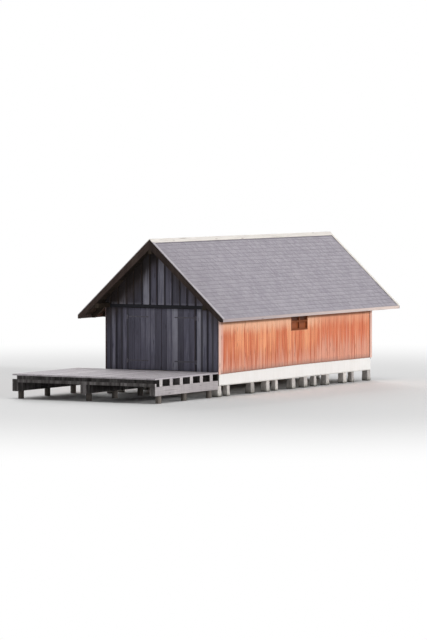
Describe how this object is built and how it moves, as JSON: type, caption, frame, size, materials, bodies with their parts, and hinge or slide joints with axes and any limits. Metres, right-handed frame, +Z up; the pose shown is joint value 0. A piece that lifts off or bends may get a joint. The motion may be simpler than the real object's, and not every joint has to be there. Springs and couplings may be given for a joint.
{
  "type": "boathouse",
  "caption": "Gabled timber boathouse on short piers with a low front deck, boarded walls, side windows and two hinged front doors.",
  "frame": {"origin": "under the middle of the whole boathouse, deck included, at the water line where the piers and deck posts end", "axes": "+Z up, +Y from the front gable to the back gable along the ridge, +X to the right seen from the front"},
  "size_m": [6.44, 16.715, 5.5202],
  "materials": {
    "pier": "rough",
    "plinth": "painted",
    "frame_timber": "sawn",
    "floor_wood": "worn",
    "side_boards": "weathered",
    "gable_boards": "weathered",
    "corner_board": "weathered",
    "window_wood": "painted",
    "window_glass": "clear",
    "roof": "weathered",
    "roof_trim": "weathered",
    "verge_wood": "weathered",
    "deck_wood": "weathered",
    "iron": "rusted"
  },
  "bodies": {
    "building": {"right_piers": "pier", "left_piers": "pier", "cross_piers": "pier", "right_plinth": "plinth", "left_plinth": "plinth", "end_plinths": "plinth", "floor_bearers": "frame_timber", "floor_joists": "frame_timber", "floor_boards": "floor_wood", "wall_posts": "frame_timber", "gable_posts": "frame_timber", "wall_rails": "frame_timber", "wall_braces": "frame_timber", "wall_plates": "frame_timber", "tie_beams": "frame_timber", "king_posts": "frame_timber", "ridge_beam": "frame_timber", "right_wall": "side_boards", "left_wall": "side_boards", "front_wall": "gable_boards", "front_gable": "gable_boards", "back_wall": "gable_boards", "back_gable": "gable_boards", "head_board": "verge_wood", "corner_boards": "corner_board", "windows": "window_wood", "window_glass": "window_glass", "right_rafters": "frame_timber", "left_rafters": "frame_timber", "right_roof": "roof", "left_roof": "roof", "ridge_cap": "roof_trim", "verge_boards": "verge_wood", "verge_strips": "roof_trim", "eave_boards": "roof_trim", "deck_boards": "deck_wood", "deck_joists": "deck_wood", "deck_beams": "deck_wood", "deck_posts": "deck_wood", "door_pins": "iron"},
    "left_leaf": {"left_door": "gable_boards", "left_ledges": "frame_timber", "left_straps": "iron"},
    "right_leaf": {"right_door": "gable_boards", "right_ledges": "frame_timber", "right_straps": "iron"}
  },
  "joints": [
    {"name": "left_leaf_hinge", "type": "hinge", "parent": "building", "child": "left_leaf", "pos_m": [-1.096, -4.1065, 1.2], "axis": [0, 0, -1], "range_deg": [0, 110]},
    {"name": "right_leaf_hinge", "type": "hinge", "parent": "building", "child": "right_leaf", "pos_m": [1.616, -4.1065, 1.2], "axis": [0, 0, 1], "range_deg": [0, 110]}
  ]
}
